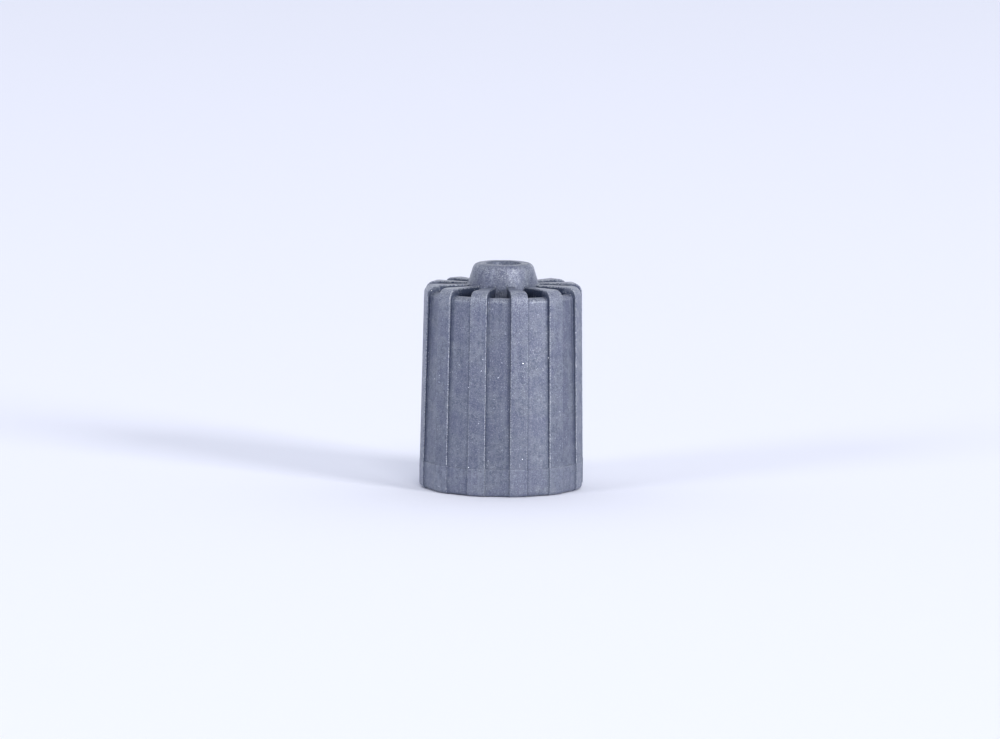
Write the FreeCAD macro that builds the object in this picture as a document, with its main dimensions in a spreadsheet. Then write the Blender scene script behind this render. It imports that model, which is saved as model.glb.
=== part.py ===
"""Sealing cap for the valve stem of a tyre pressure sensor: a ribbed moulded shell and its rubber seal.

Millimetres, +Z up. The origin is the centre of the open mouth's rim, which the cap stands on.
The ribs are evenly spaced round the Z axis, the first one on +X.
"""

import FreeCAD, Part

import os

import Sketcher

PARTS_FOLDER = "parts"
ORIGIN = -1  # Sketcher's horizontal axis, whose first point is the sketch's origin
VERTICAL_AXIS = -2
START, END, CENTRE = 1, 2, 3  # the points of a Sketcher edge
Z = FreeCAD.Vector(0, 0, 1)

# Driving dimensions: alias, value, what it is.
DIMENSIONS = [
    # outside of the shell
    ("rib_count", 12, "grip ribs round the shell"),
    ("full_height", 13.6, "mouth rim to the top of the centre boss"),
    ("band_height", 1.64, "plain band round the mouth"),
    ("band_radius", 5.0, "centre to the corners of the band's facets"),
    ("band_edge", 0.28, "rounding of the band's lower edge"),
    ("body_foot", 1.0, "height at which ribs and grooves start, inside the band"),
    ("rib_top", 12.35, "height of the ribs' flat tops"),
    ("rib_root_reach", 1.0, "centre to the ribs' inner ends, inside the boss"),
    ("rib_low_reach", 4.955, "centre to a rib's face, at its foot"),
    ("rib_low_width", 1.1, "width of a rib's face, at its foot"),
    ("rib_high_reach", 4.775, "centre to a rib's face, at its top"),
    ("rib_high_width", 0.98, "width of a rib's face, at its top"),
    ("rib_corner", 0.55, "rounding of a rib over the shoulder"),
    ("shoulder_top", 11.94, "height of the shoulder between the ribs"),
    ("shoulder_corner", 0.32, "rounding of a groove's floor into the shoulder"),
    ("floor_low_reach", 4.78, "centre to a groove's flat floor, at its foot"),
    ("floor_high_reach", 4.5, "centre to a groove's flat floor, at the shoulder"),
    ("recess_radius", 4.05, "recess round the boss, which the ribs cross"),
    ("recess_floor", 11.55, "height of that recess's floor"),
    ("recess_rim", 0.1, "rounding of that recess's outer rim"),
    ("boss_root", 11.4, "height at which the boss starts, inside the shell"),
    ("boss_low_radius", 2.436, "boss at its root"),
    ("boss_high_radius", 1.76, "boss at its top"),
    ("boss_corner", 0.26, "rounding of the boss's top edge"),
    ("dimple_radius", 1.08, "moulding gate's recess in the boss"),
    ("dimple_floor_radius", 0.92, "bottom of that recess"),
    ("dimple_depth", 0.55, "depth of that recess"),
    ("dimple_corner", 0.1, "rounding of the recess's rim"),
    # inside of the shell
    ("mouth_radius", 4.15, "lead-in at the mouth, which narrows at 45 degrees"),
    ("thread_crest_radius", 3.6, "crest of the valve thread"),
    ("thread_root_radius", 3.88, "root of the valve thread"),
    ("thread_pitch", 0.794, "32 turns to the inch"),
    ("thread_root_flat", 0.1, "width of the thread's root"),
    ("thread_opening", 0.424, "width of the thread's groove at its crest, for 60 degree flanks"),
    ("thread_overcut", 0.06, "how far the thread's cut reaches inside its crest"),
    ("thread_drop", 0.45, "how far below the mouth the thread's cut starts"),
    ("thread_length", 8.6, "height from there to the thread's end"),
    ("thread_land_top", 8.7, "end of the plain stretch above the thread"),
    ("seal_bore_radius", 3.3, "pocket that holds the seal"),
    ("seal_bore_top", 10.2, "roof of that pocket"),
    ("pin_bore_radius", 1.9, "room for the valve core's pin"),
    ("pin_bore_top", 11.3, "roof of that room"),
    # seal
    ("seal_thickness", 1.2, "height of the washer"),
    ("seal_hole_radius", 1.6, "hole that clears the valve core's pin"),
    ("seal_edge", 0.14, "rounding of the washer's edges"),
]


# Helpers for sketches and features.


def add_dimensions(doc):
    """The spreadsheet that every size is bound to."""
    sheet = doc.addObject("Spreadsheet::Sheet", "Dimensions")
    for row, (alias, value, meaning) in enumerate(DIMENSIONS, start=1):
        sheet.set(f"A{row}", str(value))
        sheet.setAlias(f"A{row}", alias)
        sheet.set(f"B{row}", meaning)
    doc.recompute()
    return sheet


def cell(alias):
    """An expression that reads one cell of the spreadsheet."""
    return f"Dimensions.{alias}"


def origin_feature(body, role):
    return next(f for f in body.Origin.OriginFeatures if f.Role == role)


def new_sketch(body, name, role, height=None):
    """A sketch on one of the body's origin planes, raised by the cell named height."""
    sketch = body.newObject("Sketcher::SketchObject", name)
    sketch.AttachmentSupport = [(origin_feature(body, role), "")]
    sketch.MapMode = "FlatFace"
    if height:
        sketch.setExpression("AttachmentOffset.Base.z", cell(height))
    return sketch


def value(sketch, expression):
    """What an expression comes to."""
    return float(sketch.evalExpression(expression))


def constrain(sketch, expression, *what):
    """Adds a sized constraint and binds its size to an expression."""
    index = sketch.addConstraint(Sketcher.Constraint(*what, value(sketch, expression)))
    sketch.setExpression(f"Constraints[{index}]", expression)


def closed_loop(sketch, points):
    """Straight edges from each point to the next, joined into a loop."""
    for start, end in zip(points, points[1:] + points[:1]):
        sketch.addGeometry(Part.LineSegment(FreeCAD.Vector(*start, 0), FreeCAD.Vector(*end, 0)))
    for i in range(len(points)):
        sketch.addConstraint(Sketcher.Constraint("Coincident", i, END, (i + 1) % len(points), START))


def section(sketch, corners):
    """A closed outline of corners, each a pair of expressions, with None for a corner on that axis."""
    closed_loop(sketch, [tuple(value(sketch, e) if e else 0.0 for e in corner) for corner in corners])
    for i, (across, up) in enumerate(corners):
        if across:
            constrain(sketch, across, "DistanceX", ORIGIN, START, i, START)
        else:
            sketch.addConstraint(Sketcher.Constraint("PointOnObject", i, START, VERTICAL_AXIS))
        if up:
            constrain(sketch, up, "DistanceY", ORIGIN, START, i, START)
        else:
            sketch.addConstraint(Sketcher.Constraint("PointOnObject", i, START, ORIGIN))


def trapezoid(sketch, inner_reach, inner_width, outer_reach, outer_width):
    """A trapezoid that lies along the sketch's X axis, even on both sides of it."""
    near, far = value(sketch, inner_reach), value(sketch, outer_reach)
    near_side, far_side = value(sketch, inner_width) / 2, value(sketch, outer_width) / 2
    closed_loop(sketch, [(near, -near_side), (far, -far_side), (far, far_side), (near, near_side)])
    for side in (1, 3):
        sketch.addConstraint(Sketcher.Constraint("Symmetric", side, START, side, END, ORIGIN))
    constrain(sketch, outer_reach, "DistanceX", ORIGIN, START, 1, START)
    constrain(sketch, outer_width, "DistanceY", 1, START, 1, END)
    constrain(sketch, inner_reach, "DistanceX", ORIGIN, START, 3, START)
    constrain(sketch, inner_width, "DistanceY", 3, END, 3, START)


def corners_on_circle(sketch, turns, radius):
    """A loop whose corners sit on a circle of that size, at those fractions of a turn from +X."""
    size = value(sketch, radius)
    arms = [FreeCAD.Rotation(Z, 360 * turn).multVec(FreeCAD.Vector(size, 0, 0)) for turn in turns]
    closed_loop(sketch, [(arm.x, arm.y) for arm in arms])
    ring = sketch.addGeometry(Part.Circle(FreeCAD.Vector(0, 0, 0), Z, size), True)
    sketch.addConstraint(Sketcher.Constraint("Coincident", ring, CENTRE, ORIGIN, START))
    constrain(sketch, radius, "Radius", ring)
    for i in range(len(turns)):
        sketch.addConstraint(Sketcher.Constraint("PointOnObject", i, START, ring))


def regular_polygon(sketch, sides, reach):
    """A regular polygon whose flats are that far from the centre, with a corner on +X."""
    corners_on_circle(sketch, [i / sides for i in range(sides)], f"{reach} / cos(180deg / {sides})")
    for i in range(1, sides):
        sketch.addConstraint(Sketcher.Constraint("Equal", 0, i))
    sketch.addConstraint(Sketcher.Constraint("PointOnObject", 0, START, ORIGIN))


def faceted_ring(sketch, pairs, radius, facet):
    """A polygon of two alternating widths: facet, the first one square to +X, and what that leaves."""
    turns = [(i + side / 4) / pairs for i in range(pairs) for side in (-1, 1)]
    corners_on_circle(sketch, turns, radius)
    sketch.addConstraint(Sketcher.Constraint("Vertical", 0))
    constrain(sketch, facet, "DistanceY", 0, START, 0, END)
    for i in range(1, pairs):
        sketch.addConstraint(Sketcher.Constraint("Equal", 0, 2 * i))
    for i in range(1, pairs):
        sketch.addConstraint(Sketcher.Constraint("Equal", 1, 2 * i + 1))


def turned(body, kind, name, corners):
    """A section of the XZ plane turned once round Z, added or cut as the kind of feature says."""
    sketch = new_sketch(body, f"{name}_section", "XZ_Plane")
    section(sketch, corners)
    feature = body.newObject(kind, name)
    feature.Profile = sketch
    feature.ReferenceAxis = (sketch, ["V_Axis"])
    feature.Angle = 360
    body.Document.recompute()
    return feature


def loft(body, name, low, high):
    """Flat sides from one sketch up to another."""
    feature = body.newObject("PartDesign::AdditiveLoft", name)
    feature.Profile = low
    feature.Sections = [high]
    feature.Ruled = True
    body.Document.recompute()
    return feature


def round_edges(body, name, radius, wanted):
    """Rounds the edges of the body so far that wanted() picks."""
    base = body.Tip
    edges = [f"Edge{i}" for i, edge in enumerate(base.Shape.Edges, start=1) if wanted(edge)]
    if not edges:
        raise RuntimeError(f"{name} found no edges")
    fillet = body.newObject("PartDesign::Fillet", name)
    fillet.Base = (base, edges)
    fillet.setExpression("Radius", cell(radius))
    body.Document.recompute()
    return fillet


def at_height(edge, height):
    """True for an edge that lies flat at that height."""
    return all(abs(vertex.Point.z - height) < 0.001 for vertex in edge.Vertexes)


def reach(edge):
    """How far the edge's middle is from the Z axis."""
    first, last = edge.ParameterRange
    middle = edge.valueAt((first + last) / 2)
    return (middle.x**2 + middle.y**2) ** 0.5


# The shell, outside first.


def add_core(body, sheet):
    """The tapered prism whose flats are the grooves' floors, with a round recess in its top."""
    sides = int(sheet.rib_count)
    foot = new_sketch(body, "core_foot", "XY_Plane", "body_foot")
    regular_polygon(foot, sides, cell("floor_low_reach"))
    head = new_sketch(body, "core_head", "XY_Plane", "shoulder_top")
    regular_polygon(head, sides, cell("floor_high_reach"))
    loft(body, "core", foot, head)
    floor, rim, above = cell("recess_floor"), cell("recess_radius"), cell("rib_top")
    turned(body, "PartDesign::Groove", "recess", [(None, floor), (rim, floor), (rim, above), (None, above)])


def add_ribs(body, sheet):
    """Ribs that narrow towards the centre, keep flat faces, and round over the shoulder."""
    ends = []
    for end, height in (("low", "body_foot"), ("high", "rib_top")):
        sketch = new_sketch(body, f"rib_{end}", "XY_Plane", height)
        root, face, width = cell("rib_root_reach"), cell(f"rib_{end}_reach"), cell(f"rib_{end}_width")
        trapezoid(sketch, root, f"{width} * {root} / {face}", face, width)
        ends.append(sketch)
    rib = loft(body, "rib", *ends)
    ribs = body.newObject("PartDesign::PolarPattern", "ribs")
    ribs.Originals = [rib]
    ribs.Axis = (origin_feature(body, "Z_Axis"), [""])
    ribs.Angle = 360
    ribs.setExpression("Occurrences", cell("rib_count"))
    body.Tip = ribs
    body.Document.recompute()
    for name, corner, height, edge_reach in (
        ("rib_shoulders", "rib_corner", sheet.rib_top, sheet.rib_high_reach),
        ("groove_shoulders", "shoulder_corner", sheet.shoulder_top, sheet.floor_high_reach),
        ("recess_rims", "recess_rim", sheet.shoulder_top, sheet.recess_radius),
    ):
        on_rim = lambda edge: at_height(edge, height) and abs(reach(edge) - edge_reach) < 0.01
        round_edges(body, name, corner, on_rim)


def add_band(body, sheet):
    """The faceted band round the mouth."""
    sketch = new_sketch(body, "band_outline", "XY_Plane")
    faceted_ring(sketch, int(sheet.rib_count), cell("band_radius"), cell("rib_low_width"))
    band = body.newObject("PartDesign::Pad", "band")
    band.Profile = sketch
    band.setExpression("Length", cell("band_height"))
    body.Document.recompute()
    round_edges(body, "band_edge", "band_edge", lambda edge: at_height(edge, 0))


def add_boss(body, sheet):
    """The conical boss in the middle of the top, with the moulding gate's recess."""
    top = cell("full_height")
    recess_floor = f"{top} - {cell('dimple_depth')}"
    corners = [
        (None, cell("boss_root")),
        (cell("boss_low_radius"), cell("boss_root")),
        (cell("boss_high_radius"), top),
        (cell("dimple_radius"), top),
        (cell("dimple_floor_radius"), recess_floor),
        (None, recess_floor),
    ]
    turned(body, "PartDesign::Revolution", "boss", corners)
    rims = (
        ("boss_rim", "boss_corner", sheet.boss_high_radius),
        ("dimple_rim", "dimple_corner", sheet.dimple_radius),
    )
    for name, corner, radius in rims:
        on_rim = lambda edge: at_height(edge, sheet.full_height) and abs(reach(edge) - radius) < 0.001
        round_edges(body, name, corner, on_rim)


def add_bore(body):
    """The stepped bore: lead-in, thread's crest, seal's pocket and the pin's room."""
    lead_in_top = f"{cell('mouth_radius')} - {cell('thread_crest_radius')}"
    corners = [
        (None, None),
        (cell("mouth_radius"), None),
        (cell("thread_crest_radius"), lead_in_top),
        (cell("thread_crest_radius"), cell("thread_land_top")),
        (cell("seal_bore_radius"), cell("thread_land_top")),
        (cell("seal_bore_radius"), cell("seal_bore_top")),
        (cell("pin_bore_radius"), cell("seal_bore_top")),
        (cell("pin_bore_radius"), cell("pin_bore_top")),
        (None, cell("pin_bore_top")),
    ]
    turned(body, "PartDesign::Groove", "bore", corners)


def add_thread(body):
    """The right-hand valve thread, cut from below the mouth up to the plain stretch."""
    sketch = new_sketch(body, "thread_profile", "XZ_Plane")
    sketch.setExpression("AttachmentOffset.Base.y", f"-{cell('thread_drop')}")
    crest, root = cell("thread_crest_radius"), cell("thread_root_radius")
    opening, flat, overcut = cell("thread_opening"), cell("thread_root_flat"), cell("thread_overcut")
    opening_inside = f"{opening} + {overcut} * ({opening} - {flat}) / ({root} - {crest})"
    trapezoid(sketch, f"{crest} - {overcut}", opening_inside, root, flat)
    thread = body.newObject("PartDesign::SubtractiveHelix", "thread")
    thread.Profile = sketch
    thread.ReferenceAxis = (sketch, ["V_Axis"])
    thread.Mode = "pitch-height-angle"
    thread.setExpression("Pitch", cell("thread_pitch"))
    thread.setExpression("Height", cell("thread_length"))
    body.Document.recompute()


def make_shell(doc, sheet):
    body = doc.addObject("PartDesign::Body", "cap_shell")
    add_core(body, sheet)
    add_ribs(body, sheet)
    add_band(body, sheet)
    add_boss(body, sheet)
    add_bore(body)
    add_thread(body)
    return body


# The seal.


def make_seal(doc):
    """The rubber washer pressed into the roof of the bore."""
    body = doc.addObject("PartDesign::Body", "seal_washer")
    top, hole, rim = cell("seal_bore_top"), cell("seal_hole_radius"), cell("seal_bore_radius")
    bottom = f"{top} - {cell('seal_thickness')}"
    corners = [(hole, bottom), (rim, bottom), (rim, top), (hole, top)]
    turned(body, "PartDesign::Revolution", "washer", corners)
    round_edges(body, "washer_edges", "seal_edge", lambda edge: isinstance(edge.Curve, Part.Circle))
    return body


# Checks and files.


def check_features(doc):
    """Stops on a failed feature, or on one that added or cut nothing."""
    for item in doc.Objects:
        if {"Invalid", "Error"} & set(item.State):
            raise RuntimeError(f"{item.Name} failed: {item.State}")
        base = getattr(item, "BaseFeature", None)
        if base and abs(item.Shape.Volume - base.Shape.Volume) < 1e-6:
            raise RuntimeError(f"{item.Name} changed nothing")


def check_body(body):
    """Stops on a body that isn't one valid solid."""
    shape = body.Shape
    if shape.isNull() or not shape.isValid() or len(shape.Solids) != 1:
        raise RuntimeError(f"{body.Label} is not one valid solid")


def main():
    doc = FreeCAD.newDocument("valve_cap")
    sheet = add_dimensions(doc)
    bodies = [make_shell(doc, sheet), make_seal(doc)]
    doc.recompute()
    check_features(doc)
    for body in bodies:
        check_body(body)
    os.makedirs(PARTS_FOLDER, exist_ok=True)
    for body in bodies:
        body.Shape.exportStep(os.path.join(PARTS_FOLDER, f"{body.Label}.step"))
        print(body.Label, body.Shape.BoundBox, round(body.Shape.Volume, 3))


main()
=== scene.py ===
from math import atan, cos, pi, radians, sin, tan

import bmesh
import bpy
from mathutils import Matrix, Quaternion, Vector


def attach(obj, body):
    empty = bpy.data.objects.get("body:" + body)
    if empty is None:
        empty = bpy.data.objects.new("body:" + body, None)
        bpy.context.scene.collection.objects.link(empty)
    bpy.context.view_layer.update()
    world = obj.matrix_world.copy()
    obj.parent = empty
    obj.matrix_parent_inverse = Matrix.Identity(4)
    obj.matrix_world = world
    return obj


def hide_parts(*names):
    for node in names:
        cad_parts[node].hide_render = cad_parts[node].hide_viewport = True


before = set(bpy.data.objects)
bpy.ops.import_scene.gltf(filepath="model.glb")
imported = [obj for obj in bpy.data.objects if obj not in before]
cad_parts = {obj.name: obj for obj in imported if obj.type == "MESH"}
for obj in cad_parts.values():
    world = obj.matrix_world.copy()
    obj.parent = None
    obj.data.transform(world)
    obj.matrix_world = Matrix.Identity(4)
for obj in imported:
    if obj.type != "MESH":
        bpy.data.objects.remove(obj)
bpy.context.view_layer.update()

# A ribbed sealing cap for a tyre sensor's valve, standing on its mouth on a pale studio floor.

MM = 0.001

# Sizes in millimetres. Z is the height above the mouth, and a reach is a distance from the axis.
RIBS = 12
SECTOR = 2 * pi / RIBS
RIB_HALF_ANGLE = atan(0.55 / 4.98)
FULL_HEIGHT = 13.6
RIB_TOP, SHOULDER_TOP = 12.35, 11.94
RIB_TOP_REACH, SHOULDER_REACH = 4.775, 4.5
RIB_CORNER, SHOULDER_CORNER = 0.55, 0.32
BAND_TOP = 1.64
RIM_EDGE = 0.28
BOSS_LOW, BOSS_HIGH = 2.27, 1.76
BOSS_CORNER = 0.38
BOSS_MERGE = 12.56  # above this height the boss is round all the way
GATE_LOW, GATE_HIGH = 0.92, 1.08  # reach of the gate's recess at its floor and its rim
RECESS_REACH, RECESS_FLOOR = 4.05, 11.56  # recess round the boss, which the ribs cross
MOUTH_RADIUS = 4.15
CREST_RADIUS, ROOT_RADIUS, PITCH = 3.6, 3.88, 0.794
HALF_OPENING, HALF_ROOT = 0.212, 0.05  # of the thread's groove
THREAD_FROM, THREAD_TO, LAND_TOP = -0.45, 8.15, 8.7
SEAL_BORE, SEAL_TOP, SEAL_BOTTOM, SEAL_HOLE = 3.3, 10.2, 9.0, 1.6
SEAL_EDGE, SEAL_MARK = 0.14, 0.03
PIN_BORE, PIN_TOP = 1.9, 11.3
EDGE_RADIUS = 0.085  # rounding along a rib's edges
ROOT_FILLET = 0.07  # where a rib's side meets the groove's floor
PALE_CORNERS_FROM = 11.2  # the corners above this height are painted paler, with wear and painted highlight
SEAL_COLUMNS = 144

GATE_STUB, GATE_STUB_FOOT, GATE_STUB_TOP = 0.21, 0.27, 13.12
GATE_FLOOR = 13.05

# How much painted shade surfaces get: down the ribs' sides, on the grooves' floors, in the recess, round
# the boss and over the band. The material mixes in 0.65 of its shade colour at 1.
FULL_WALL = 0.15  # a rib's side this deep gets all of its paint
RECESS_DEPTH = 0.5  # the recess is deeper than this under the ribs' outline
BOSS_AREA = 2.6  # the boss and its foot are nearer the axis than this
GROOVE_SHADE, RECESS_SHADE = 0.14, 1.3
BOSS_FOOT_SHADE = 0.5
GATE_SHADE = 0.5  # the boss's rim and the gate's recess
BAND_SHADE = 0.35
# How far edges are painted paler, with wear and painted highlight.
CORNER_WEAR_AND_HIGHLIGHT, BOSS_HIGHLIGHT, BAND_RIDGE_HIGHLIGHT = 0.6, 0.45, 0.3

# Linear colours of the materials.
NYLON_DARK, NYLON_LIGHT = (0.084, 0.100, 0.158, 1), (0.176, 0.198, 0.268, 1)
CLOUD, PATCH = (0.222, 0.243, 0.300, 1), (0.108, 0.120, 0.205, 1)
STREAK, GRAIN = (0.245, 0.270, 0.335, 1), (0.310, 0.335, 0.400, 1)
# In order: painted light from the floor near the mouth, the colour of painted shade, and the pale colour of
# wear and painted highlight.
FLOOR_BOUNCE_LIGHT, SHADE, PALE_WEAR_AND_HIGHLIGHT = (0.300, 0.325, 0.385, 1), (0.010, 0.022, 0.060, 1), (0.42, 0.45, 0.52, 1)
DULL_FLECK, BRIGHT_FLECK = (0.48, 0.51, 0.58, 1), (0.85, 0.88, 0.94, 1)
RUBBER_DARK, RUBBER_BLOOM = (0.016, 0.016, 0.018, 1), (0.036, 0.036, 0.039, 1)
FLOOR_COLOUR, SKY_COLOUR = (0.80, 0.82, 0.925, 1), (0.93, 0.96, 1.04, 1)

# The camera, in degrees and millimetres. Azimuth 0 looks along +Y.
CAMERA_AZIMUTH, CAMERA_ELEVATION, CAMERA_DISTANCE = -12.1, 7.45, 380
CAMERA_LENS = 226.0
CAMERA_ROLL = 0.6
AIM_HEIGHT, AIM_ASIDE = 7.1, -0.14

# Name, azimuth from the camera's side, elevation, distance, size, power, colour.
LIGHTS = [
    ("key_right", 49, 18, 2.2, 0.6, 34, (1.0, 0.98, 0.95)),
    ("fill_left", -52, 18, 2.2, 0.6, 15, (0.98, 0.98, 1.0)),
    ("front", 8, 46, 3.0, 1.1, 25, (1.0, 0.99, 0.97)),
]
WORLD_BACK, WORLD_FRONT = 1.18, 0.2
FLOOR_DROP = 0.00001  # keeps the floor off the mouth's rim


# Outlines in the plane through the axis: lists of (reach, height).


def rounded(corners):
    """The points of an outline whose corners are (reach, height, rounding, steps)."""
    points = []
    for i, (reach, height, radius, steps) in enumerate(corners):
        here = Vector((reach, height))
        if not radius:
            points.append(here)
            continue
        before = (Vector(corners[i - 1][:2]) - here).normalized()
        after = (Vector(corners[i + 1][:2]) - here).normalized()
        half = before.angle(after) / 2
        centre = here + (before + after).normalized() * radius / sin(half)
        start = here + before * radius / tan(half) - centre
        end = here + after * radius / tan(half) - centre
        sweep = pi - 2 * half
        for step in range(steps + 1):
            part = step / steps
            weight_start, weight_end = sin((1 - part) * sweep), sin(part * sweep)
            points.append(centre + (start * weight_start + end * weight_end) / sin(sweep))
    return points


def boss_reach(height):
    """The reach of the boss's cone at a height."""
    return BOSS_LOW + (BOSS_HIGH - BOSS_LOW) * (height - SHOULDER_TOP) / (FULL_HEIGHT - SHOULDER_TOP)


def crown():
    """The boss from where it is round all the way: rim, gate recess and the gate's stub."""
    return [
        (boss_reach(BOSS_MERGE), BOSS_MERGE, 0, 0),
        (BOSS_HIGH, FULL_HEIGHT, BOSS_CORNER, 10),
        (GATE_HIGH, FULL_HEIGHT, 0.1, 5),
        (GATE_LOW, GATE_FLOOR, 0.22, 6),
        (GATE_STUB_FOOT, 13.03, 0.03, 2),
        (GATE_STUB, GATE_STUB_TOP, 0.03, 3),
        (0, 13.1, 0, 0),
    ]


def outside(band, ridge, foot, top):
    """The outline from the mouth, up a rib or a groove's floor, over the top and into the gate's recess."""
    foot_height = BAND_TOP + 0.035
    reach, height = top[0][:2]
    slope = (reach - foot) / (height - foot_height)
    return rounded([
        (MOUTH_RADIUS, 0, 0, 0),
        (MOUTH_RADIUS + 0.03, 0, 0, 0),
        (band, 0, RIM_EDGE, 7),
        (band, BAND_TOP - 0.04, 0.01, 1),
        (ridge, BAND_TOP - 0.015, 0.006, 1),
        (ridge, BAND_TOP + 0.01, 0.006, 1),
        (foot, foot_height, 0.012, 2),
        (foot + slope * (PALE_CORNERS_FROM - foot_height), PALE_CORNERS_FROM, 0, 0),
    ] + top + crown())


RIB_LINE = outside(4.962, 4.9695, 4.95, [
    (RIB_TOP_REACH, RIB_TOP, RIB_CORNER, 10),
    *[(RECESS_REACH + 0.1 - 0.03 * i, RIB_TOP, 0, 0) for i in range(10)],
    (boss_reach(RIB_TOP), RIB_TOP, 0.12, 5),
])
FLOOR_LINE = outside(4.852, 4.86, 4.805, [
    (SHOULDER_REACH, SHOULDER_TOP, SHOULDER_CORNER, 10),
    (RECESS_REACH, SHOULDER_TOP, 0.1, 4),
    (RECESS_REACH - 0.06, RECESS_FLOOR, 0.14, 4),
    (boss_reach(RECESS_FLOOR), RECESS_FLOOR, 0.14, 5),
])


def outward(points, i):
    """The unit normal of an outline at one of its points, away from the material."""
    tangent = points[min(i + 1, len(points) - 1)] - points[max(i - 1, 0)]
    return Vector((tangent.y, -tangent.x)).normalized()


def flatness(point):
    """1 where the outline follows the flats, 0 where it is round."""
    reach, height = point
    if height > 8:
        return min(max((reach - RECESS_REACH - 0.06) / 0.12, 0), 1)
    return min(max((reach - MOUTH_RADIUS - 0.1) / 0.3, 0), 1)


def sector_columns():
    """The columns round one rib: (on the rib, angle from its middle, sideways step, step off the outline).

    The steps are in units of the rounding there, so both roundings shrink with the wall between them.
    """
    half = [(True, RIB_HALF_ANGLE * part, 0, 0) for part in (0.3, 0.6)]
    for step in range(5):
        turn = step / 4 * pi / 2
        half.append((True, RIB_HALF_ANGLE, sin(turn) - 1, 1 - cos(turn)))
    for step in range(5):
        turn = step / 4 * pi / 2
        half.append((False, RIB_HALF_ANGLE, 1 - cos(turn), 1 - sin(turn)))
    gap = SECTOR / 2 - RIB_HALF_ANGLE
    half += [(False, RIB_HALF_ANGLE + gap * part, 0, 0) for part in (0.3, 0.55, 0.78)]
    left = [(on_rib, -angle, -aside, lift) for on_rib, angle, aside, lift in reversed(half)]
    return left + [(True, 0, 0, 0)] + half + [(False, SECTOR / 2, 0, 0)]


def painted_shade_at(point, gap, column):
    """How much painted shade a point gets: 0 on the ribs, over 1 in the recess round the boss."""
    on_rib, _, aside, lift = column
    dark = 0
    # Painted shade down the ribs' sides.
    if aside or lift:
        wall = min(gap / FULL_WALL, 1)
        dark = wall * (0.6 * lift if on_rib else 0.65 + 0.6 * lift)
    # Painted shade on the grooves' floors, darkest in the recess.
    if lift or not on_rib:
        depth = min(max((gap - RECESS_DEPTH) / 0.15, 0), 1)
        dark = max(dark, GROOVE_SHADE, RECESS_SHADE * depth)
    # Painted shade at the boss's foot, its rim and the gate's recess.
    if point.y > RECESS_FLOOR - 0.1 and point.x < BOSS_AREA:
        dark = max(dark, BOSS_FOOT_SHADE * (1 - (point.y - RIB_TOP) / 0.7))
        if point.y > FULL_HEIGHT - 0.04 or point.x < 1.1:
            dark = GATE_SHADE
    # Painted shade in the step above the band.
    if 0.03 <= point.y - BAND_TOP < 0.07:
        dark = max(dark, BAND_SHADE)
    return dark


def wear_and_highlight_at(point, gap, column, dark):
    """How much paler a point is painted: wear and painted highlight along the ribs' edges and on the top
    corners of ribs and grooves, painted highlight on the boss and on the band's ridge.
    """
    on_rib, _, _, lift = column
    # Painted highlight on the band's ridge.
    if abs(point.y - BAND_TOP) < 0.03:
        return BAND_RIDGE_HIGHLIGHT
    # Painted highlight on the boss.
    if 12.9 < point.y < FULL_HEIGHT - 0.1 and point.x > 1.3:
        return BOSS_HIGHLIGHT
    # Wear and painted highlight along the ribs' rounded edges and on the top corners.
    edge_wear_and_highlight = min(gap / FULL_WALL, 1) if on_rib and 0 < lift < 0.9 else 0
    on_corner = SHOULDER_TOP - 0.3 < point.y < RIB_TOP + 0.01 and point.x > RECESS_REACH + 0.1
    return max(edge_wear_and_highlight, CORNER_WEAR_AND_HIGHLIGHT) if on_corner and dark <= 0.3 else edge_wear_and_highlight


def outside_point(row, column, middle):
    """A point of the outside, with its painted shade and its paler paint of wear and painted highlight. The
    rib's middle is at that angle.
    """
    on_rib, angle, aside, lift = column
    normal = (outward(RIB_LINE, row) + outward(FLOOR_LINE, row)).normalized()
    gap = max((RIB_LINE[row] - FLOOR_LINE[row]).dot(normal), 0)
    rounding = min(EDGE_RADIUS if on_rib else ROOT_FILLET, 0.46 * gap)
    point = RIB_LINE[row] if on_rib else FLOOR_LINE[row]
    turn = angle + aside * rounding / max(point.x, 2)
    off_flat = abs(turn) if on_rib else SECTOR / 2 - abs(turn)
    point = point - normal * lift * rounding if on_rib else point + normal * lift * rounding
    point.y = max(point.y, 0)
    reach = point.x * (1 + flatness(point) * (1 / cos(off_flat) - 1))
    place = Vector((reach * cos(middle + turn), reach * sin(middle + turn), point.y)) * MM
    dark = painted_shade_at(point, gap, column)
    return place, dark, wear_and_highlight_at(point, gap, column, dark)


def add_grid(mesh, columns, offset=0):
    """Quads between neighbouring columns of vertices, all round. The offset moves the rows at the seam."""
    count = len(columns)
    for i in range(count):
        here, there = columns[i], columns[(i + 1) % count]
        shift = offset if i == count - 1 else 0
        for row in range(len(here) - 1 - shift):
            corners = (here[row], there[row + shift], there[row + shift + 1], here[row + 1])
            mesh.faces.new(corners)


def thread_profile():
    """(height from the groove's middle, reach) over one turn of the thread, with slightly rounded edges."""
    soft = 0.03
    rise = (ROOT_RADIUS - CREST_RADIUS) / (HALF_OPENING - HALF_ROOT)
    low = [
        (-HALF_OPENING - soft, CREST_RADIUS),
        (-HALF_OPENING + soft, CREST_RADIUS + rise * soft),
        (-HALF_ROOT - soft, ROOT_RADIUS - rise * soft),
        (-HALF_ROOT + soft * 0.6, ROOT_RADIUS),
    ]
    return low + [(-height, reach) for height, reach in reversed(low)]


def thread_point(angle, turn, height, reach):
    """A point of the threaded wall, in millimetres. The thread dies out at the top and in the lead-in."""
    middle = THREAD_FROM + PITCH * (turn + angle / (2 * pi))
    depth = min(max((THREAD_TO - middle) / 0.12, 0), 1)
    z = min(max(middle + height, 0), LAND_TOP)
    radius = max(CREST_RADIUS + (reach - CREST_RADIUS) * depth, MOUTH_RADIUS - z)
    return Vector((radius * cos(angle), radius * sin(angle), z))


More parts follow.
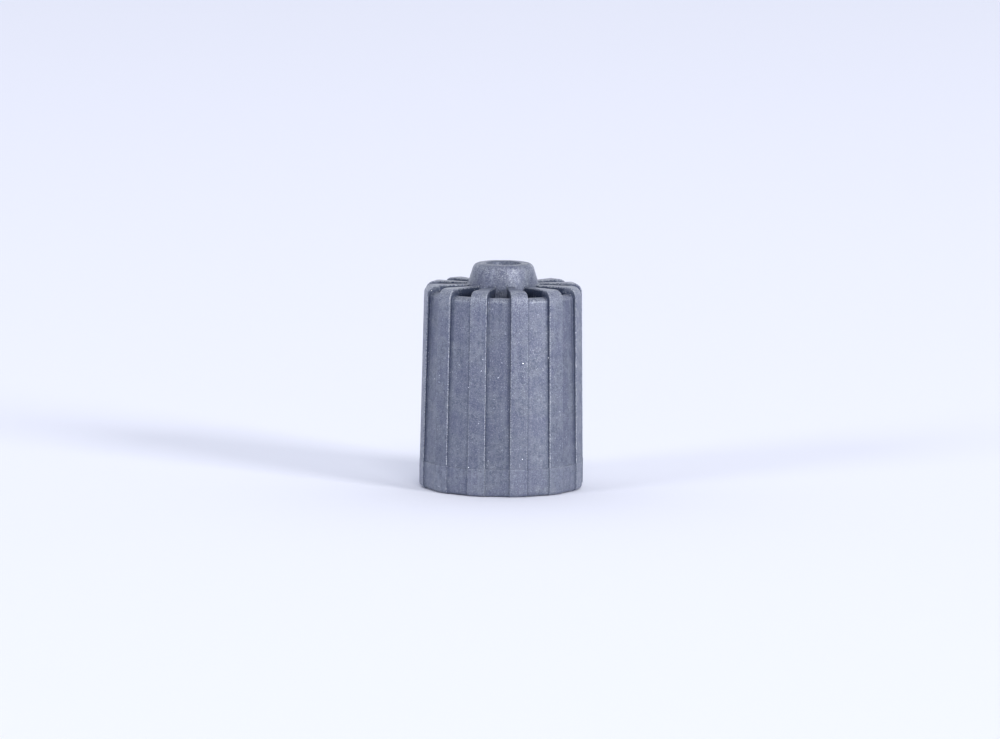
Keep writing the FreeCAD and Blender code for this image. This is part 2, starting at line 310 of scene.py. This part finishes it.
def turned(mesh, outline, angle):
    """One column of vertices: the outline at that angle round the axis."""
    return [
        mesh.verts.new((reach * cos(angle) * MM, reach * sin(angle) * MM, height * MM))
        for reach, height in outline
    ]


def add_outside(mesh):
    """The outside, with its painted shade and its paler paint of wear and painted highlight on the
    vertices. Returns the angles of its columns.
    """
    painted_shade_layer = mesh.verts.layers.float.new("painted_shade")
    wear_and_highlight_layer = mesh.verts.layers.float.new("wear_and_highlight")
    columns, angles = [], []
    for rib in range(RIBS):
        for column in sector_columns():
            vertices = []
            for row in range(len(RIB_LINE)):
                place, painted_shade, wear_and_highlight = outside_point(row, column, rib * SECTOR)
                vertex = mesh.verts.new(place)
                vertex[painted_shade_layer], vertex[wear_and_highlight_layer] = painted_shade, wear_and_highlight
                vertices.append(vertex)
            columns.append(vertices)
            angle = rib * SECTOR + column[1]
            if not angles or angle > angles[-1] + 1e-9:
                angles.append(angle)
    add_grid(mesh, columns)
    return angles


def add_thread(mesh, angles):
    """The threaded wall from the mouth to the plain stretch, as one strip that winds round the axis."""
    profile = thread_profile()
    turns = int((LAND_TOP - THREAD_FROM) / PITCH) + 3
    first = angles[0]
    lean = Quaternion((0, 0, 1), first)
    columns = []
    for angle in angles:
        points = [
            thread_point(angle - first, turn, height, reach)
            for turn in range(-1, turns)
            for height, reach in profile
        ]
        columns.append([mesh.verts.new(lean @ point * MM) for point in points])
    add_grid(mesh, columns, offset=len(profile))


def shell_mesh():
    """The whole moulding as one closed surface: outside, thread, and the roof of the bore."""
    mesh = bmesh.new()
    angles = add_outside(mesh)
    add_thread(mesh, angles)
    roof = rounded([
        (CREST_RADIUS, LAND_TOP, 0, 0),
        (SEAL_BORE, LAND_TOP, 0.05, 3),
        (SEAL_BORE, SEAL_TOP, 0.05, 3),
        (PIN_BORE, SEAL_TOP, 0.06, 3),
        (PIN_BORE, PIN_TOP, 0.2, 4),
        (0, PIN_TOP, 0, 0),
    ])
    add_grid(mesh, [turned(mesh, roof, angle) for angle in angles])
    return mesh


def seal_mesh():
    """A washer with rounded edges and the shallow mark that a valve's rim presses into its face."""
    middle = (SEAL_BOTTOM + SEAL_TOP) / 2
    outline = rounded([
        (SEAL_HOLE, middle, 0, 0),
        (SEAL_HOLE, SEAL_BOTTOM, SEAL_EDGE, 5),
        (2.3, SEAL_BOTTOM, 0.04, 2),
        (2.38, SEAL_BOTTOM + SEAL_MARK, 0.04, 2),
        (2.92, SEAL_BOTTOM + SEAL_MARK, 0.04, 2),
        (3.0, SEAL_BOTTOM, 0.04, 2),
        (SEAL_BORE, SEAL_BOTTOM, SEAL_EDGE, 5),
        (SEAL_BORE, SEAL_TOP, SEAL_EDGE, 5),
        (SEAL_HOLE, SEAL_TOP, SEAL_EDGE, 5),
        (SEAL_HOLE, middle, 0, 0),
    ])
    mesh = bmesh.new()
    add_grid(mesh, [turned(mesh, outline, 2 * pi * i / SEAL_COLUMNS) for i in range(SEAL_COLUMNS)])
    return mesh


def make_piece(name, mesh, material, node):
    """A closed, smooth-shaded piece that stands for a CAD node."""
    bmesh.ops.remove_doubles(mesh, verts=mesh.verts, dist=5e-8)
    bmesh.ops.dissolve_degenerate(mesh, edges=mesh.edges, dist=1e-9)
    bmesh.ops.recalc_face_normals(mesh, faces=mesh.faces)
    data = bpy.data.meshes.new(name)
    mesh.to_mesh(data)
    mesh.free()
    data.shade_smooth()
    data.set_sharp_from_angle(angle=radians(50))
    data.materials.append(material)
    piece = bpy.data.objects.new(name, data)
    bpy.context.scene.collection.objects.link(piece)
    weighted = piece.modifiers.new("weighted_normals", "WEIGHTED_NORMAL")
    weighted.keep_sharp = True
    weighted.weight = 80
    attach(piece, "root")
    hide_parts(node)


# Materials.


class Nodes:
    """A short way to write a material's node tree."""

    def __init__(self, name):
        self.material = bpy.data.materials.new(name)
        self.material.use_nodes = True
        self.tree = self.material.node_tree
        self.tree.nodes.clear()
        self.output = self.add("ShaderNodeOutputMaterial")
        self.shader = self.add("ShaderNodeBsdfPrincipled")
        self.link(self.shader.outputs["BSDF"], self.output.inputs["Surface"])
        self.place = self.add("ShaderNodeTexCoord").outputs["Object"]

    def add(self, kind, **settings):
        node = self.tree.nodes.new(kind)
        for key, setting in settings.items():
            setattr(node, key, setting)
        return node

    def link(self, source, target):
        self.tree.links.new(source, target)

    def put(self, value, socket):
        """Links an output, or sets a number or colour."""
        if isinstance(value, bpy.types.NodeSocket):
            self.link(value, socket)
        else:
            socket.default_value = value

    def height(self):
        """The height above the mouth, in metres."""
        parts = self.add("ShaderNodeSeparateXYZ")
        self.link(self.place, parts.inputs[0])
        return parts.outputs["Z"]

    def noise(self, scale, detail, roughness, stretch=1.0):
        """Smooth noise. A stretch below 1 draws it out along the axis."""
        node = self.add("ShaderNodeTexNoise")
        place = self.place
        if stretch != 1:
            mapping = self.add("ShaderNodeMapping")
            mapping.inputs["Scale"].default_value = (1, 1, stretch)
            self.link(place, mapping.inputs["Vector"])
            place = mapping.outputs["Vector"]
        self.link(place, node.inputs["Vector"])
        for key, value in (("Scale", scale), ("Detail", detail), ("Roughness", roughness)):
            node.inputs[key].default_value = value
        return node.outputs["Fac"]

    def flecks(self, scale, chance, size):
        """1 in a dot in the middle of those cells whose random number is over chance, 0 elsewhere."""
        cells = self.add("ShaderNodeTexVoronoi")
        self.link(self.place, cells.inputs["Vector"])
        cells.inputs["Scale"].default_value = scale
        pick = self.add("ShaderNodeSeparateColor")
        self.link(cells.outputs["Color"], pick.inputs[0])
        chosen = self.math("GREATER_THAN", pick.outputs[0], chance)
        return self.math("MULTIPLY", chosen, self.math("LESS_THAN", cells.outputs["Distance"], size))

    def bumps(self, height, strength, distance):
        """Roughens the shader's normal by a height."""
        node = self.add("ShaderNodeBump")
        node.inputs["Strength"].default_value = strength
        node.inputs["Distance"].default_value = distance
        self.link(height, node.inputs["Height"])
        self.link(node.outputs["Normal"], self.shader.inputs["Normal"])

    def math(self, operation, a, b=0.0, clamp=False):
        node = self.add("ShaderNodeMath", operation=operation, use_clamp=clamp)
        self.put(a, node.inputs[0])
        self.put(b, node.inputs[1])
        return node.outputs[0]

    def remap(self, value, low, high, to_low=0.0, to_high=1.0):
        """Moves the range from low to high onto another one, and stops at its ends."""
        node = self.add("ShaderNodeMapRange")
        self.link(value, node.inputs["Value"])
        ends = {"From Min": low, "From Max": high, "To Min": to_low, "To Max": to_high}
        for key, number in ends.items():
            node.inputs[key].default_value = number
        return node.outputs["Result"]

    def mix(self, amount, a, b):
        """Colour a, with that amount of colour b."""
        node = self.add("ShaderNodeMix", data_type="RGBA")
        self.put(amount, node.inputs[0])
        self.put(a, node.inputs[6])
        self.put(b, node.inputs[7])
        return node.outputs[2]

    def attribute(self, name):
        return self.add("ShaderNodeAttribute", attribute_name=name).outputs["Fac"]


def shell_material():
    """Grey filled nylon with a fine metallic flake, paler on the edges with wear and painted highlight, and
    darker down the ribs' sides with painted shade.
    """
    n = Nodes("filled_nylon")
    patches = n.noise(750, 3.0, 0.6)
    clouds = n.noise(2400, 3.0, 0.6)
    mottle = n.noise(6500, 3.0, 0.6)
    grain = n.noise(17000, 2.0, 0.6)
    streaks = n.noise(4200, 2.0, 0.6, stretch=0.07)
    tone = n.mix(n.remap(mottle, 0.36, 0.64), NYLON_DARK, NYLON_LIGHT)
    tone = n.mix(n.remap(clouds, 0.44, 0.60, 0.0, 0.6), tone, CLOUD)
    tone = n.mix(n.remap(patches, 0.42, 0.58, 0.0, 0.6), tone, PATCH)
    tone = n.mix(n.remap(streaks, 0.45, 0.70, 0.0, 0.35), tone, STREAK)
    tone = n.mix(n.remap(grain, 0.50, 0.68, 0.0, 0.65), tone, GRAIN)
    # Painted light from the bright floor, paler towards the mouth.
    tone = n.mix(n.remap(n.height(), 0.0, 0.007, 0.09, 0.0), tone, FLOOR_BOUNCE_LIGHT)
    # Painted shade down the ribs' sides, on the grooves, in the recess and round the boss.
    tone = n.mix(n.math("MULTIPLY", n.attribute("painted_shade"), 0.65, clamp=True), tone, SHADE)
    # Paler paint of wear and painted highlight on edges, corners, the boss and the band's ridge.
    wear_and_highlight_mix = n.math("MULTIPLY", n.attribute("wear_and_highlight"), n.remap(grain, 0.46, 0.58, 0.0, 0.75))
    tone = n.mix(wear_and_highlight_mix, tone, PALE_WEAR_AND_HIGHLIGHT)
    shiny = n.remap(clouds, 0.45, 0.65, 0.15, 1.0)
    dull = n.flecks(15000, 0.82, 0.34)
    tone = n.mix(n.math("MULTIPLY", dull, n.math("MULTIPLY", shiny, 0.8)), tone, DULL_FLECK)
    bright = n.flecks(9000, 0.993, 0.27)
    tone = n.mix(bright, tone, BRIGHT_FLECK)
    n.link(tone, n.shader.inputs["Base Color"])
    n.shader.inputs["Specular IOR Level"].default_value = 0.38
    n.link(n.math("ADD", 0.36, n.math("MULTIPLY", bright, 0.6)), n.shader.inputs["Metallic"])
    rough = n.remap(clouds, 0.35, 0.65, 0.44, 0.32)
    n.link(n.math("SUBTRACT", rough, n.math("MULTIPLY", bright, 0.2)), n.shader.inputs["Roughness"])
    height = n.math("ADD", n.math("MULTIPLY", grain, 0.8), n.math("MULTIPLY", mottle, 0.9))
    n.bumps(height, 1.0, 0.000028)
    return n.material


def seal_material():
    """Black rubber with a soft bloom."""
    n = Nodes("washer_rubber")
    bloom = n.noise(2600, 3.0, 0.6)
    grain = n.noise(14000, 2.0, 0.5)
    tone = n.mix(n.remap(bloom, 0.35, 0.7), RUBBER_DARK, RUBBER_BLOOM)
    n.link(tone, n.shader.inputs["Base Color"])
    n.link(n.remap(bloom, 0.3, 0.7, 0.55, 0.8), n.shader.inputs["Roughness"])
    n.bumps(grain, 0.4, 0.00001)
    return n.material


# Studio.


def add_floor():
    """A large plain pale floor."""
    n = Nodes("studio_floor")
    n.shader.inputs["Base Color"].default_value = FLOOR_COLOUR
    n.shader.inputs["Roughness"].default_value = 1.0
    n.shader.inputs["Specular IOR Level"].default_value = 0.0
    mesh = bmesh.new()
    bmesh.ops.create_circle(mesh, cap_ends=True, segments=96, radius=3.0)
    data = bpy.data.meshes.new("studio_floor")
    mesh.to_mesh(data)
    mesh.free()
    data.materials.append(n.material)
    floor = bpy.data.objects.new("studio_floor", data)
    floor.location.z = -FLOOR_DROP
    bpy.context.scene.collection.objects.link(floor)


def add_light(name, azimuth, elevation, distance, size, energy, colour):
    """A square soft light that faces the cap. Azimuth 0 is the camera's side, 90 its right."""
    data = bpy.data.lights.new(name, "AREA")
    data.size = size
    data.energy = energy
    data.color = colour
    light = bpy.data.objects.new(name, data)
    turn, tilt = radians(CAMERA_AZIMUTH + azimuth), radians(elevation)
    away = Vector((sin(turn) * cos(tilt), -cos(turn) * cos(tilt), sin(tilt)))
    light.location = Vector((0, 0, FULL_HEIGHT / 2 * MM)) + away * distance
    light.rotation_mode = "QUATERNION"
    light.rotation_quaternion = away.to_track_quat("Z", "Y")
    bpy.context.scene.collection.objects.link(light)


def add_world():
    """Pale light from all round, dimmer from the side that the camera stands on."""
    world = bpy.data.worlds.new("studio")
    world.use_nodes = True
    tree = world.node_tree
    direction = tree.nodes.new("ShaderNodeTexCoord").outputs["Generated"]
    front = tree.nodes.new("ShaderNodeVectorMath")
    front.operation = "DOT_PRODUCT"
    front.inputs[1].default_value = (sin(radians(CAMERA_AZIMUTH)), -cos(radians(CAMERA_AZIMUTH)), 0)
    tree.links.new(direction, front.inputs[0])
    strength = tree.nodes.new("ShaderNodeMapRange")
    strength.interpolation_type = "SMOOTHSTEP"
    back_end, front_end = -0.9, 0.8
    strength.inputs["From Min"].default_value = back_end
    strength.inputs["From Max"].default_value = front_end
    strength.inputs["To Min"].default_value = WORLD_BACK
    strength.inputs["To Max"].default_value = WORLD_FRONT
    tree.links.new(front.outputs["Value"], strength.inputs["Value"])
    background = tree.nodes["Background"]
    background.inputs["Color"].default_value = SKY_COLOUR
    tree.links.new(strength.outputs["Result"], background.inputs["Strength"])
    bpy.context.scene.world = world


def add_camera():
    """A long lens a little above the cap, rolled slightly."""
    data = bpy.data.cameras.new("camera")
    data.sensor_width = 36
    data.lens = CAMERA_LENS
    data.clip_start, data.clip_end = 0.01, 20
    camera = bpy.data.objects.new("camera", data)
    turn, tilt = radians(CAMERA_AZIMUTH), radians(CAMERA_ELEVATION)
    back = Vector((sin(turn) * cos(tilt), -cos(turn) * cos(tilt), sin(tilt)))
    right = Vector((cos(turn), sin(turn), 0))
    aim = (Vector((0, 0, AIM_HEIGHT)) + right * AIM_ASIDE) * MM
    camera.location = aim + back * CAMERA_DISTANCE * MM
    camera.rotation_mode = "QUATERNION"
    roll = Quaternion((0, 0, 1), radians(CAMERA_ROLL))
    camera.rotation_quaternion = (-back).to_track_quat("-Z", "Y") @ roll
    bpy.context.scene.collection.objects.link(camera)
    bpy.context.scene.camera = camera


bpy.context.scene.view_settings.view_transform = "Standard"
add_camera()
add_world()
add_floor()
for light in LIGHTS:
    add_light(*light)
make_piece("shell_moulding", shell_mesh(), shell_material(), "cap_shell")
make_piece("rubber_washer", seal_mesh(), seal_material(), "seal_washer")
